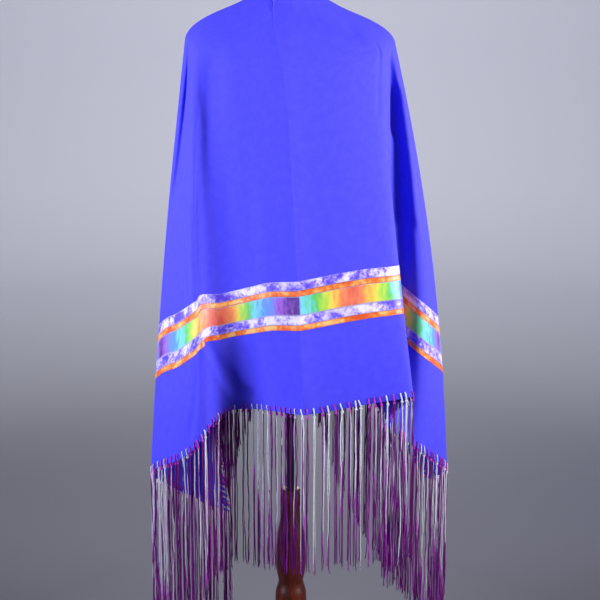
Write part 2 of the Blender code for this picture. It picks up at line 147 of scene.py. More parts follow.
# Folds along the hem: hem x, y, z, bearing, rise, bow x, bow y, tuck
FOLDS = (
    (-0.14, 0.128, 0.365, 0, 1.06, -0.062, 0, 0),
    (-0.166, 0.122, 0.378, 9, 1.07, -0.05, 0.004, 0),
    (-0.19, 0.098, 0.394, 17, 1.08, -0.04, -0.004, 0),
    (-0.216, 0.1, 0.411, 27, 1.09, -0.03, 0.006, 0),
    (-0.242, 0.072, 0.433, 38, 1.1, -0.022, -0.004, 0),
    (-0.274, 0.064, 0.456, 52, 1.12, -0.014, 0.004, 0),
    (-0.3, 0.024, 0.486, 74, 1.15, -0.009, 0, 0),
    (-0.297, -0.018, 0.512, 90, 1.16, -0.009, 0, 0),
    (-0.272, -0.052, 0.537, 100, 1.16, -0.006, -0.004, 0),
    (-0.242, -0.084, 0.557, 107, 1.15, -0.002, -0.01, 0),
    (-0.21, -0.108, 0.583, 113, 1.12, -0.004, -0.014, 0),
    (-0.184, -0.122, 0.614, 118, 1.07, -0.004, -0.02, 0.006),
    (-0.165, -0.116, 0.642, 123, 1.01, -0.006, -0.009, 0.016),
    (-0.152, -0.092, 0.652, 127, 0.97, -0.004, 0.006, 0.034),
    (-0.14, -0.064, 0.656, 132, 0.95, 0.004, 0.013, 0.056),
    (-0.116, -0.054, 0.662, 139, 0.95, 0.01, 0.015, 0.064),
    (-0.072, -0.072, 0.668, 152, 0.97, 0.004, 0.009, 0.05),
    (-0.026, -0.114, 0.675, 163, 0.99, 0, 0.001, 0.02),
    (0.026, -0.143, 0.677, 172, 1, 0.006, -0.004, 0),
    (0.06, -0.14, 0.68, 184, 1.01, 0.004, -0.004, 0),
    (0.11, -0.143, 0.69, 198, 1.01, 0, -0.006, 0),
    (0.165, -0.148, 0.702, 213, 1, 0, -0.006, 0),
    (0.218, -0.152, 0.712, 225, 0.98, -0.002, -0.004, 0),
    (0.243, -0.15, 0.716, 230, 0.97, -0.004, 0, 0),
    (0.25, -0.14, 0.713, 232, 0.98, -0.004, 0.004, 0),
    (0.241, -0.131, 0.702, 234, 1, -0.004, 0.008, 0),
    (0.21, -0.118, 0.672, 238, 1.05, -0.006, 0.01, 0),
    (0.193, -0.104, 0.65, 242, 1.09, -0.008, 0.01, 0),
    (0.203, -0.088, 0.632, 246, 1.12, 0, 0.026, 0),
    (0.236, -0.074, 0.606, 251, 1.15, 0.008, 0.038, 0),
    (0.27, -0.06, 0.576, 257, 1.17, 0.018, 0, 0),
    (0.303, -0.028, 0.545, 264, 1.19, 0.024, -0.014, 0),
    (0.329, 0.004, 0.518, 273, 1.2, 0.026, -0.004, 0),
    (0.34, 0.038, 0.497, 286, 1.18, 0.024, 0, 0),
    (0.338, 0.076, 0.478, 303, 1.14, 0.004, 0.006, 0),
    (0.326, 0.1, 0.461, 322, 1.1, -0.018, 0, 0),
    (0.322, 0.12, 0.452, 342, 1.08, -0.04, 0.004, 0),
    (0.309, 0.134, 0.443, 360, 1.06, -0.056, 0, 0),
)

# Pressed crease down the middle of the back: height above the hem, place
CREASE = ((0.0, 0.7700), (0.10, 0.7705), (0.30, 0.7725), (0.48, 0.7765), (0.60, 0.7810),
          (0.73, 0.779), (0.78, 0.769), (0.815, 0.743), (0.846, 0.7), (0.88, 0.65))
CREASE_PLACE = 0.7765
CREASE_DEPTH = 0.0036
CREASE_WIDTH = 0.016
CREASE_TOP = 0.86               # height above the hem over which the crease is faint
CREASE_FADE = 0.12
CREASE_FAINT = 0.25             # share of its depth that stays there
CREASE_WINDOW = 0.05            # how far beside it the grid's columns bend with it
PRESSED_EDGE = 0.0007
PRESSED_WIDTH = 0.0016
UNEVEN_LIFT = 0.0009            # slight unevenness of hanging cloth
UNEVEN_SCALE = (9, 5)           # its waves in a metre, along the hem and up the cloth
UNEVEN_SEED = 3.1

# Soft wrinkles: name, depth (a trough is negative), half width, places along it
WRINKLES = (
    ("left ridge", 0.0045, 0.010,
     ((0.5, 0.182), (0.528, 0.138), (0.565, 0.07), (0.586, 0.04), (0.612, 0.022))),
    ("left ridge shadow", -0.0075, 0.014,
     ((0.524, 0.175), (0.55, 0.14), (0.585, 0.085), (0.606, 0.055), (0.632, 0.034))),
    ("left strip fold", -0.0030, 0.014,
     ((0.47, 0.2), (0.474, 0.15), (0.462, 0.095), (0.444, 0.045))),
    ("left valley", -0.0062, 0.036,
     ((0.504, 0.275), (0.495, 0.363), (0.499, 0.463), (0.53, 0.56), (0.558, 0.62),
      (0.578, 0.68), (0.592, 0.735))),
    ("left edge line", 0.0030, 0.009,
     ((0.455, 0.49), (0.46, 0.406), (0.463, 0.323), (0.473, 0.274))),
    ("hem pull", -0.0016, 0.009, ((0.742, 0.052), (0.757, 0.033), (0.768, 0.014))),
    ("right of crease pull", -0.0011, 0.010, ((0.826, 0.036), (0.812, 0.018))),
    ("right shoulder pull", -0.0018, 0.009,
     ((1.02, 0.74), (0.999, 0.678), (0.983, 0.617), (0.975, 0.575))),
    ("right shoulder fold", 0.0012, 0.009, ((1.030, 0.720), (1.012, 0.676), (0.998, 0.618))),
    ("right trough top", -0.0085, 0.016,
     ((1.164, 0.77), (1.16, 0.717), (1.155, 0.674), (1.152, 0.632))),
    ("right crest top", 0.0090, 0.016,
     ((1.222, 0.5), (1.222, 0.6), (1.218, 0.68), (1.212, 0.74))),
    ("neck roll", -0.0060, 0.020, ((0.730, 0.84), (0.820, 0.825), (0.900, 0.80), (0.960, 0.775))),
    ("pressed line", 0.0010, 0.010,
     ((0.698, 0.428), (0.725, 0.428), (0.754, 0.432), (0.775, 0.443), (0.825, 0.438),
      (0.887, 0.427))),
    ("back hollow", -0.0020, 0.050, ((0.640, 0.30), (0.650, 0.42), (0.660, 0.55))),
)
WRINKLE_REACH = 3               # half widths past which a wrinkle isn't felt


def linear(hex_colour):
    """An sRGB hex colour as linear red, green, blue and alpha."""
    channels = [int(hex_colour[k:k + 2], 16) / 255 for k in (0, 2, 4)]
    return [c / 12.92 if c <= 0.04045 else ((c + 0.055) / 1.055) ** 2.4 for c in channels] + [1.0]


def plug(tree, node, inputs):
    """Fills a node's inputs, by name or index, with a value, a socket or a node's first output."""
    for key, value in inputs.items():
        if isinstance(value, bpy.types.Node):
            value = value.outputs[0]
        if isinstance(value, bpy.types.NodeSocket):
            tree.links.new(value, node.inputs[key])
        else:
            node.inputs[key].default_value = value


def add(tree, kind, inputs=None, stops=(), **settings):
    """Adds a node with its settings and inputs and, on a colour ramp, its (position, hex) stops."""
    node = tree.nodes.new(kind)
    for key, value in settings.items():
        setattr(node, key, value)
    plug(tree, node, inputs or {})
    if stops:
        elements = node.color_ramp.elements
        while len(elements) < len(stops):
            elements.new(0.5)
        for element, (position, colour) in zip(elements, stops):
            element.position = position
            element.color = linear(colour)
    return node


def smooth_between(keys, points, key):
    """Point at a key on the smooth curve through the points at their keys."""
    last = len(keys) - 1
    k = min(max(sum(1 for value in keys if value <= key) - 1, 0), last - 1)

    def slope(at):
        low, high = max(at - 1, 0), min(at + 1, last)
        return (points[high] - points[low]) / (keys[high] - keys[low])

    span = keys[k + 1] - keys[k]
    t = (key - keys[k]) / span
    rise, fall = slope(k) * span, slope(k + 1) * span
    a, b = points[k], points[k + 1]
    return (a * (2 * t**3 - 3 * t**2 + 1) + rise * (t**3 - 2 * t**2 + t)
            + b * (3 * t**2 - 2 * t**3) + fall * (t**3 - t**2))


def ring_point(table, bearing):
    """Point of the shoulder line or neckline at a bearing. The +X side mirrors the -X side."""
    mirrored = bearing > 180
    half = 360 - bearing if mirrored else bearing
    point = smooth_between([row[0] for row in table], [Vector(row[1:]) for row in table], half)
    if mirrored:
        point.x = -point.x
        point.z -= RIGHT_SHOULDER_DROP * math.sin(math.radians(half))
    return point


def wrinkle_relief(place, up):
    """Distance that the wrinkles lift the cloth off its main folds."""
    lift = 0.0
    for _, depth, width, path in WRINKLES:
        nearest = 1.0
        for (ax, ay), (bx, by) in zip(path, path[1:]):
            dx, dy = bx - ax, by - ay
            share = min(max(((place - ax) * dx + (up - ay) * dy) / (dx * dx + dy * dy), 0.0), 1.0)
            nearest = min(nearest, math.hypot(place - ax - dx * share, up - ay - dy * share))
        if nearest < WRINKLE_REACH * width:
            lift += depth * math.exp(-(nearest / width)**2)
    return lift


def relief(place, up, aside):
    """Lift of the cloth at a place: its crease, its wrinkles and its unevenness."""
    fade = min(max((CREASE_TOP - up) / CREASE_FADE, CREASE_FAINT), 1.0)
    crease = CREASE_DEPTH * fade * math.exp(-abs(aside) / CREASE_WIDTH)
    at = (place * UNEVEN_SCALE[0], up * UNEVEN_SCALE[1], UNEVEN_SEED)
    uneven = UNEVEN_LIFT * noise.noise(Vector(at))
    pressed = PRESSED_EDGE * math.exp(-(aside / PRESSED_WIDTH)**2)
    return crease + pressed + wrinkle_relief(place, up) + uneven


def arm_fold(place, up):
    """How far the cloth is tucked in behind the arm on the -X side, with a swell beside it."""
    begin = min(max((up - ARM_FOLD_ENDS[0]) / ARM_FOLD_FADE, 0.0), 1.0)
    finish = min(max((ARM_FOLD_ENDS[1] - up) / ARM_FOLD_FADE, 0.0), 1.0)
    share = min(begin, finish)
    aside = place - ARM_FOLD_PLACE - ARM_FOLD_LEAN * (up - ARM_FOLD_ENDS[0])
    tucked = math.exp(-(aside / ARM_FOLD_WIDTH)**2)
    swell = ARM_FOLD_SWELL * math.exp(-(aside / ARM_FOLD_WIDTH + ARM_FOLD_SWELL_ASIDE)**2)
    return ARM_FOLD_DEPTH * share * share * (3 - 2 * share) * (tucked - swell)


class Drape:
    """The hanging cloth. A row below BAND_TOP is a height above the hem. The next unit of rows is
    the fall up to the shoulder, and the last one the bend over it to the neckline."""

    def __init__(self):
        self.hem = [Vector(row[:3]) for row in FOLDS]
        self.turn = [Vector(row[3:]) for row in FOLDS]
        self.keys = [0.0]
        for a, b in zip(self.hem, self.hem[1:]):
            self.keys.append(self.keys[-1] + (b - a).length)
        self.length = self.keys[-1]

    def lines(self, place):
        """What all points above one place of the hem share."""
        hem = smooth_between(self.keys, self.hem, place)
        bearing, rise, bow_x, bow_y, tuck = smooth_between(self.keys, self.turn, place)
        bearing = min(max(bearing, 0.0), 360.0)
        neck = ring_point(NECKLINE, bearing)
        shoulder = ring_point(SHOULDER_LINE, bearing)
        plumb = hem - Vector((0, tuck, 0))
        start = shoulder.lerp(plumb, HANG_START)
        return plumb, start, shoulder, neck, rise, bow_x, bow_y, tuck

    def point(self, lines, row, place):
        """Point of the cloth and its distance from the hem."""
        plumb, start, shoulder, neck, rise, bow_x, bow_y, tuck = lines
        length = (start - plumb).length
        if row <= BAND_TOP + 1:
            low = min(row, BAND_TOP) * rise
            up = low + (length - low) * max(row - BAND_TOP, 0.0)
            share = up / length
            swing = 4 * share * (1 - share)
            drawn_in = tuck * max(1 - up / TUCK_REACH, 0.0)**2
            behind_arm = arm_fold(place, up)
            offset = Vector((bow_x * swing, bow_y * swing + drawn_in + behind_arm, 0))
            return plumb.lerp(start, share) + offset, up
        share = row - BAND_TOP - 1
        rest = 1 - share
        point = start * rest**2 + shoulder * (2 * share * rest) + neck * share**2
        return point, length + share * ((shoulder - start).length + (neck - shoulder).length)


DRAPE = Drape()


def crease_place(up):
    return float(np.interp(up, *zip(*CREASE)))


def cloth_places():
    """Places of the grid's columns, closer together beside the pressed crease."""
    count = round(DRAPE.length / COLUMN_STEP)
    places = [DRAPE.length * k / count for k in range(count + 1)]
    beside = (-0.0050, -0.0025, -0.0010, 0, 0.0010, 0.0025, 0.0050)
    places = [p for p in places if abs(p - CREASE_PLACE) > 0.0065]
    return sorted(places + [CREASE_PLACE + step for step in beside])


def grid_normals(points):
    """Outward unit normals of a grid of points."""
    along = np.gradient(points, axis=0)
    up = np.gradient(points, axis=1)
    normals = np.cross(along, up)
    return normals / np.linalg.norm(normals, axis=2, keepdims=True)


def cloth_grid(places, rows):
    """Middle of the cloth at places by rows: points, outward normals and (place, up) pairs."""
    points = np.zeros((len(places), len(rows), 3))
    flat = np.zeros((len(places), len(rows), 2))
    for i, place in enumerate(places):
        lines = DRAPE.lines(place)
        window = math.exp(-((place - CREASE_PLACE) / CREASE_WINDOW)**2)
        for j, row in enumerate(rows):
            point, up = DRAPE.point(lines, row, place)
            at = place
            if window > 0.02:
                at = place + (crease_place(up) - CREASE_PLACE) * window
                point, up = DRAPE.point(DRAPE.lines(at), row, at)
            points[i, j] = point
            flat[i, j] = (at, up)
    normals = grid_normals(points)
    for i, place in enumerate(places):
        for j in range(len(rows)):
            lift = relief(flat[i, j, 0], flat[i, j, 1], place - CREASE_PLACE)
            points[i, j] += normals[i, j] * lift
    return points, grid_normals(points), flat


def link(data, name):
    made = bpy.data.objects.new(name, data)
    bpy.context.scene.collection.objects.link(made)
    return made


def smooth_piece(name, mesh, sharp=None):
    """Piece of a mesh shaded smooth, but for edges sharper than an angle in degrees."""
    mesh.shade_smooth()
    if sharp:
        mesh.set_sharp_from_angle(angle=math.radians(sharp))
    return link(mesh, name)


def finish_piece(piece, finish, node=None):
    """Gives a piece its finish and slot, sets it riding, and hides the imported part of the node it
    stands for.
    """
    piece.data.materials.clear()
    piece.data.materials.append(finish)
    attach(piece, "root")
    if node:
        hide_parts(node)
    return piece


def sheet(name, points, normals, flat, inner, outer, dye=None):
    """Closed sheet between two offsets, numbers or one for each row, with UVs in metres."""
    columns, rows = points.shape[:2]
    sides = [points + normals * np.broadcast_to(offset, (columns, rows))[..., None]
             for offset in (inner, outer)]
    verts = np.concatenate([side.reshape(-1, 3) for side in sides])
    shift = columns * rows
    index = np.arange(shift).reshape(columns, rows)
    faces = []
    for i in range(columns - 1):
        for j in range(rows - 1):
            a, b, c, d = index[i, j], index[i + 1, j], index[i + 1, j + 1], index[i, j + 1]
            faces.append((a + shift, b + shift, c + shift, d + shift))
            faces.append((d, c, b, a))
    rims = []
    for i in range(columns - 1):
        rims += [(index[i, 0], index[i + 1, 0]), (index[i + 1, -1], index[i, -1])]
    for j in range(rows - 1):
        rims += [(index[0, j + 1], index[0, j]), (index[-1, j], index[-1, j + 1])]
    faces += [(a, b, b + shift, a + shift) for a, b in rims]
    mesh = bpy.data.meshes.new(name)
    mesh.from_pydata(verts.tolist(), [], [tuple(int(v) for v in face) for face in faces])
    layer = mesh.uv_layers.new(name="UVMap")
    uv = np.concatenate([flat.reshape(-1, 2)] * 2)
    corners = np.zeros(len(mesh.loops), dtype=np.int32)
    mesh.loops.foreach_get("vertex_index", corners)
    layer.data.foreach_set("uv", uv[corners].reshape(-1).astype(np.float32))
    if dye is not None:
        made = mesh.attributes.new("dye", "FLOAT", "POINT")
        made.data.foreach_set("value", np.tile(np.repeat(dye, rows), 2).astype(np.float32))
    return smooth_piece(name, mesh, 60)


def span_rows(low, high, step):
    """Evenly spaced rows from low to high, about a step apart."""
    count = max(1, round((high - low) / step))
    return [low + (high - low) * k / count for k in range(count + 1)]


def cloth_rows():
    """Rows of the cloth's grid, close together at the hem and its seam."""
    hem = [0.0, 0.0025, 0.0055, 0.0085, 0.0102, HEM_WIDTH, 0.0118, 0.0135, 0.0180]
    return (hem + span_rows(0.025, BAND_HEIGHT, 0.0085) + span_rows(BAND_HEIGHT, BAND_TOP, 0.0075)[1:]
            + [BAND_TOP + k / 54 for k in range(1, 55)] + [BAND_TOP + 1 + k / 14 for k in range(1, 15)])


def edge_tree(name, sizes, kind, result):
    """Geometry Nodes tree that starts from a piece's edges as curves. Sizes are named inputs."""
    tree = bpy.data.node_groups.new(name, "GeometryNodeTree")
    face = tree.interface
    face.new_socket("Lines", in_out="INPUT", socket_type="NodeSocketGeometry")
    for key, value in sizes:
        face.new_socket(key, in_out="INPUT", socket_type=kind).default_value = value
    face.new_socket("Finish", in_out="INPUT", socket_type="NodeSocketMaterial")
    face.new_socket(result, in_out="OUTPUT", socket_type="NodeSocketGeometry")
    given = add(tree, "NodeGroupInput").outputs
    return tree, given, add(tree, "GeometryNodeMeshToCurve", {"Mesh": given["Lines"]})


def end_tree(tree, made, given, result):
    soft = add(tree, "GeometryNodeSetShadeSmooth", {"Geometry": made})
    real = add(tree, "GeometryNodeRealizeInstances", {"Geometry": soft})
    done = add(tree, "GeometryNodeSetMaterial", {"Geometry": real, "Material": given["Finish"]})
    add(tree, "NodeGroupOutput", {result: done})
    return tree


def yarn_tree():
    """Spins a piece's edges into round yarn.

    Each point's girth is the yarn's radius there. The direction round the yarn and the length
    along it are stored for the twist in the yarn's material.
    """
    tree, given, curves = edge_tree("spin yarn", (("Sides", 6),), "NodeSocketInt", "Yarn")
    girth = add(tree, "GeometryNodeInputNamedAttribute", {"Name": "girth"}, data_type="FLOAT")
    run = add(tree, "GeometryNodeSplineParameter").outputs["Length"]
    along = add(tree, "GeometryNodeStoreNamedAttribute",
                {"Geometry": curves, "Name": "along", "Value": run})
    ring = add(tree, "GeometryNodeCurvePrimitiveCircle",
               {"Resolution": given["Sides"], "Radius": 1.0})
    place = add(tree, "GeometryNodeInputPosition")
    rounded = add(tree, "GeometryNodeStoreNamedAttribute",
                  {"Geometry": ring, "Name": "round", "Value": place}, data_type="FLOAT_VECTOR")
    tube = add(tree, "GeometryNodeCurveToMesh",
               {"Curve": along, "Profile Curve": rounded, "Scale": girth, "Fill Caps": True})
    return end_tree(tree, tube, given, "Yarn")


def stitch_tree():
    """Sews a row of stitches along a piece's edges."""
    sizes = (("Stitch pitch", 0.0030), ("Stitch length", 0.0023), ("Thread radius", 0.00022))
    tree, given, curves = edge_tree("sew stitches", sizes, "NodeSocketFloat", "Stitches")
    points = add(tree, "GeometryNodeCurveToPoints",
                 {"Curve": curves, "Length": given["Stitch pitch"]}, mode="LENGTH")
    ball = add(tree, "GeometryNodeMeshUVSphere", {"Segments": 6, "Rings": 4, "Radius": 1.0})
    half = add(tree, "ShaderNodeMath", {0: given["Stitch length"], 1: 0.5}, operation="MULTIPLY")
    radius = given["Thread radius"]
    size = add(tree, "ShaderNodeCombineXYZ", {"X": radius, "Y": radius, "Z": half})
    placed = add(tree, "GeometryNodeInstanceOnPoints",
                 {"Points": points, "Instance": ball, "Rotation": points.outputs["Rotation"],
                  "Scale": size})
    return end_tree(tree, placed, given, "Stitches")


class Lines:
    """Paths with a girth and a tint at each point, to be spun into yarn or sewn."""

    def __init__(self):
        self.points, self.edges, self.girths, self.tints = [], [], [], []

    def add(self, points, girths, tints):
        first = len(self.points)
        count = len(points)
        self.points += [tuple(p) for p in points]
        self.edges += [(first + k, first + k + 1) for k in range(count - 1)]
        self.girths += list(girths) if hasattr(girths, "__len__") else [girths] * count
        self.tints += list(tints) if hasattr(tints, "__len__") else [tints] * count

    def spin(self, name, tree, values):
        """Runs a tree over the paths and returns the result as a plain piece."""
        mesh = bpy.data.meshes.new(name)
        mesh.from_pydata(self.points, self.edges, [])
        for key, data in (("girth", self.girths), ("tint", self.tints)):
            mesh.attributes.new(key, "FLOAT", "POINT").data.foreach_set("value", data)
        maker = link(mesh, name + "_lines")
        run = maker.modifiers.new("make", "NODES")
        run.node_group = tree
        for item in tree.interface.items_tree:
            if item.in_out == "INPUT" and item.name in values:
                run[item.identifier] = values[item.name]
        graph = bpy.context.evaluated_depsgraph_get()
        made = bpy.data.meshes.new_from_object(maker.evaluated_get(graph))
        maker.modifiers.remove(run)
        bpy.data.objects.remove(maker, do_unlink=True)
        made.name = name
        return link(made, name)


ACROSS, FORWARD = Vector((1, 0, 0)), Vector((0, 1, 0))
KNOT_TAIL = Vector((0, 0, 0.001))       # how far under its knot's middle a strand starts


def wander(k, turn):
    """Repeatable number between -1 and 1 for lock k."""
    return math.sin(12.9898 * k + 78.233 * turn) * math.cos(4.1414 * k + turn)


def strand_tints(chance, kind, count):
    """Tints down a strand: 0 white, 0.45 magenta, 1 deep purple. Most white yarn turns purple."""
    turn = chance.uniform(0.25, 0.95)
    if kind == "white":
        first, last, run = 0.03, chance.uniform(0.55, 1.0), 0.25
    else:
        first, last, run = 0.95, chance.choice((1.0, 1.0, 0.75, 0.5)), 0.3
    return [first + (last - first) * min(max((k / (count - 1) - turn) / run, 0), 1)
            for k in range(count)]


def loop_through(paths, hole, edge, out, knot, tint):
    """Yarn through its hole in the hem: down both faces of the cloth and into the knot."""
    rise = (hole - edge).normalized()
    face = CLOTH_HALF + YARN_RADIUS * 0.9
    back = face + HEM_TURNING
    lip = edge - rise * YARN_RADIUS * 0.6
    path = [knot, lip + out * face * 0.8, edge + rise * 0.003 + out * face, hole + out * face,
            hole + rise * 0.0012 + out * face * 0.35, hole + rise * 0.0012 - out * back * 0.35,
            hole - out * back, edge + rise * 0.003 - out * back, lip - out * back * 0.8, knot]
    paths.add(path, YARN_RADIUS * 1.12, tint)


def knot_round(paths, knot, along, out, tint, phase):
    """Overhand knot: yarn wound once and a half round the lock."""
    path = []
    for k in range(13):
        turn = phase + 3 * math.pi * k / 12
        lift = Vector((0, 0, KNOT_LIFT * (1 - k / 6)))
        path.append(knot + along * (KNOT_RADIUS * math.cos(turn))
                    + out * (KNOT_RADIUS * math.sin(turn)) + lift)
    paths.add(path, YARN_RADIUS, tint)


def tie_lock(paths, hole, edge, out, knot, along, square, kind, chance):
    """Loop through the edge and knot of one lock, in the colour of its first strand; for purple yarn a
    paler magenta, painted light on the lit loops and knots.
    """
    # purple loops and knots take the paler magenta tint, painted light where they are lit
    tint = 0.0 if kind == "white" else LOOP_TINT_WITH_PAINTED_LIGHT
    loop_through(paths, hole, edge, out, knot, tint)
    knot_round(paths, knot, along, square, tint, chance.uniform(0, 6))


def frayed_tip(paths, tip, girth, tint, chance):
    """End of a strand, open into a few filaments."""
    for _ in range(3):
        spread = Vector((chance.uniform(-1, 1), chance.uniform(-1, 1), 0)) * 0.0028
        long = chance.uniform(0.006, 0.014)
        path = [tip + Vector((0, 0, 0.002)), tip + spread * 0.5 - Vector((0, 0, long * 0.5)),
                tip + spread - Vector((0, 0, long))]
        paths.add(path, [girth * 0.55, girth * 0.4, girth * 0.15], tint)


def hanging_strand(paths, knot, aside, fall, kind, chance):
    """One strand from its knot straight down, with the slight waves of loose yarn."""
    count = STRAND_POINTS
    tints = strand_tints(chance, kind, count)
    girth = YARN_RADIUS * chance.uniform(0.78, 1.08)
    sway = chance.uniform(0.0006, 0.0022)
    kink = chance.uniform(0.0002, 0.0008)
    turn, phase, beat = (chance.uniform(0, 2 * math.pi) for _ in range(3))
    path = []
    for k in range(count):
        share = k / (count - 1)
        settle = min(share / 0.08, 1.0)
        wave = sway * math.sin(phase + share * (5 + beat)) * settle
        wave += kink * math.sin(2 * phase + share * (24 + 6 * beat)) * settle
        drift = aside * (0.35 + 0.65 * share) * settle
        path.append(knot + drift + Vector((wave * math.cos(turn), wave * math.sin(turn),
                                           -fall * share)))
    paths.add(path, [girth * (1.0 - 0.12 * k / count) for k in range(count)], tints)
    frayed_tip(paths, path[-1], girth, tints[-1], chance)


def hang_lock(paths, knot, along, out, count, chance, purple=0.6, lift=Vector()):
    """Strands of one lock, side by side under its knot, most of them of one colour."""
    lead, other = ("purple", "white") if chance.random() < purple else ("white", "purple")
    kinds = [lead if chance.random() < LEAD_SHARE else other for _ in range(count)]
    for m, kind in enumerate(kinds):
        side = (m - (count - 1) / 2) * STRAND_SPACING + chance.uniform(-0.0006, 0.0006)
        aside = along * side + out * chance.uniform(-0.0012, 0.0012) + lift
        fall = FRINGE_LENGTH - KNOT_DROP + chance.uniform(-0.014, 0.008)
        fall = min(fall, knot.z - FLOOR_CLEARANCE)
        hanging_strand(paths, knot + aside * 0.3, aside, fall, kind, chance)
    return kinds[0]


def hem_fringe(chance):
    """Locks knotted through the hem, one at each hole."""
    count = round(DRAPE.length / HOLE_PITCH)
    places = [DRAPE.length * (k + 0.5 + 0.22 * wander(k, 5)) / count for k in range(count)]
    points, normals, _ = cloth_grid(places, [0.0, HOLE_HEIGHT])
    paths = Lines()
    for i, place in enumerate(places):
        low, high = max(i - 1, 0), min(i + 1, count - 1)
        along = Vector(points[high, 0] - points[low, 0]).normalized()
        edge, hole = Vector(points[i, 0]), Vector(points[i, 1])
        rise = (hole - edge).normalized()
        out = along.cross(rise).normalized()
        if out.dot(Vector(normals[i, 0])) < 0:
            out = -out
        knot = edge - rise * KNOT_DROP
        level = Vector((along.x, along.y, 0)).normalized()
        square = Vector((level.y, -level.x, 0))
        kind = hang_lock(paths, knot - KNOT_TAIL, level, square, chance.choice((2, 2, 3, 3)), chance,
                         purple=float(np.interp(place, *zip(*PURPLE_SHARES))))
        slant = along * chance.uniform(-0.0038, -0.0004)
        tie_lock(paths, hole + slant, edge, out, knot, level, square, kind, chance)
    return paths


def front_fringe(points, normals, edge, inner, side, chance):
    """Locks knotted through a front edge. They hang before the cloth, and over each other."""
    paths = Lines()
    rim, inside = ([Vector(point) for point in points[column]] for column in (edge, inner))
    away = Vector((side * 0.25, 1, 0)).normalized()
    run = 0.0
    k = 0
    for row in range(len(rim) - 1):
        step = (rim[row + 1] - rim[row]).length
        while run + step > (k + 0.6) * HOLE_PITCH:
            share = ((k + 0.6) * HOLE_PITCH - run) / step
            at = rim[row].lerp(rim[row + 1], share)
            inward = (inside[row].lerp(inside[row + 1], share) - at).normalized()
            out = Vector(normals[edge][row])
            reach = 0.004 + 0.026 * abs(wander(k, 9))
            knot = at - inward * 0.004 + out * 0.003 - Vector((0, 0, 0.003))
            kind = hang_lock(paths, knot - KNOT_TAIL, ACROSS, FORWARD, 2, chance, lift=away * reach)
            hole = at + inward * HOLE_HEIGHT
            tie_lock(paths, hole, at, out, knot, ACROSS, FORWARD, kind, chance)
            k += 1
        run += step
    return paths


def zigzag(points, normals, low_row, high_row, out):
    """Zigzag seam along a ribbon's edge: from one row to the other and back."""
    path = []
    run = 0.0
    up = True
    for i in range(len(points) - 1):
        step = (Vector(points[i + 1, low_row]) - Vector(points[i, low_row])).length
        while run < step:
            row = high_row if up else low_row
            at, normal = (Vector(grid[i, row]).lerp(Vector(grid[i + 1, row]), run / step)
                          for grid in (points, normals))
            path.append(at + normal * out)
            up = not up
            run += ZIGZAG_PITCH / 2
        run -= step
    return path


def ring(height, wide, deep, centre, steps, seam=0.0):
    """Points round an oval, drawn in by its four seams."""
    points = []
    for k in range(steps):
        turn = 2 * math.pi * k / steps
        sunk = seam * math.exp(-(math.sin(2 * turn) / FORM_SEAM_WIDTH)**2)
        points.append(((wide - sunk) * math.cos(turn), centre + (deep - sunk) * math.sin(turn),
                       height))
    return points


def piece_of(bm, name, sharp=None):
    """Smooth piece of a finished bmesh."""
    mesh = bpy.data.meshes.new(name)
    bm.to_mesh(mesh)
    bm.free()
    return smooth_piece(name, mesh, sharp)


def lofted(name, rings, sharp):
    """Closed piece through rings of points, given from the top down."""
    bm = bmesh.new()
    loops = [[bm.verts.new(point) for point in points] for points in rings]
    for upper, lower in zip(loops, loops[1:]):
        for k in range(len(upper)):
            n = (k + 1) % len(upper)
            bm.faces.new((upper[k], lower[k], lower[n], upper[n]))
    bm.faces.new(loops[0])
    bm.faces.new(loops[-1][::-1])
    bmesh.ops.recalc_face_normals(bm, faces=bm.faces)
    return piece_of(bm, name, sharp)


def turned(name, outline, steps, centre):
    """Round piece turned about Z through an outline of (height, radius) from the top down."""
    return lofted(name, [ring(z, radius, radius, centre, steps) for z, radius in outline], 35)


def smooth_outline(rows, between=5):
    """Outline with points added on the smooth curve through the given (height, radius) rows."""
    keys = [-z for z, _ in rows]
    values = [Vector((r, 0)) for _, r in rows]
    outline = []
    for a, b in zip(keys, keys[1:]):
        for k in range(between):
            key = a + (b - a) * k / between
            outline.append((-key, smooth_between(keys, values, key).x))
    outline.append(rows[-1])
    return outline


# Cross sections of the dress form: height, half width, half depth, centre y
FORM_SECTIONS = (
    (0.8022, 0.15, 0.098, 0),
    (0.8522, 0.166, 0.106, -0.002),
    (0.9322, 0.168, 0.106, -0.004),
    (1.0222, 0.142, 0.09, 0.002),
    (1.0922, 0.128, 0.084, 0.004),
    (1.1822, 0.142, 0.096, 0.006),
    (1.2622, 0.156, 0.106, 0.006),
    (1.3322, 0.166, 0.096, 0),
    (1.3872, 0.18, 0.078, -0.008),
    (1.4222, 0.186, 0.062, -0.01),
    (1.4422, 0.178, 0.052, -0.01),
    (1.4582, 0.152, 0.05, -0.01),
    (1.4722, 0.116, 0.052, -0.01),
    (1.4842, 0.08, 0.054, -0.01),
    (1.5022, 0.06, 0.055, -0.01),
    (1.5422, 0.054, 0.054, -0.01),
    (1.5872, 0.054, 0.054, -0.01),
)
FORM_SIDES = 96
FORM_ROW = 0.008
FORM_CENTRE = -0.010            # y of the neck's middle
FORM_SEAM_DEPTH = 0.0009
FORM_SEAM_WIDTH = 0.06          # as a sine of the turn round the form
FORM_EDGE = (0.012, 0.006)      # height and inset of its rounded lower edge

